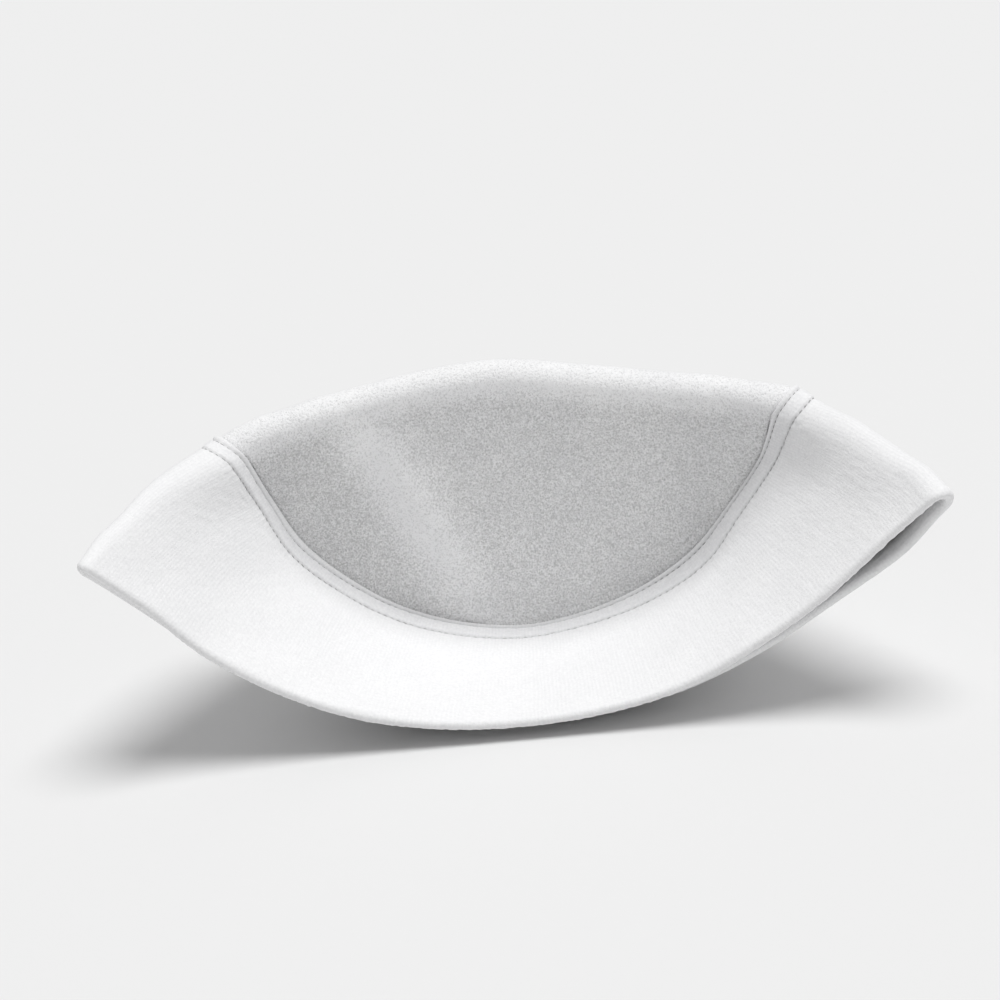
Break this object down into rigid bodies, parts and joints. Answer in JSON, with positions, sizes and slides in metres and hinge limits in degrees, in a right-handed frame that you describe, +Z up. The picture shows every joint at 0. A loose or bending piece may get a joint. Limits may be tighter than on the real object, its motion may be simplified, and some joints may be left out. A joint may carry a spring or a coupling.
{
  "type": "kufi",
  "caption": "Round fleece kufi cap lying folded: flat crown folded in half over a straight-sided band, mouth forward.",
  "frame": {"origin": "centre of the bounding box's bottom: the table under the lying cap", "axes": "+Z up from the table, -Y out of the cap's mouth, +X to the right along the fold as the mouth is faced"},
  "size_m": [0.2546, 0.0962, 0.0965],
  "materials": {
    "crown_fleece": "white brushed fleece, mottled nap",
    "band_fleece": "white doubled fleece with fine wales from seam to hem"
  },
  "bodies": {
    "root": {"crown": "crown_fleece", "band": "band_fleece"}
  },
  "joints": []
}
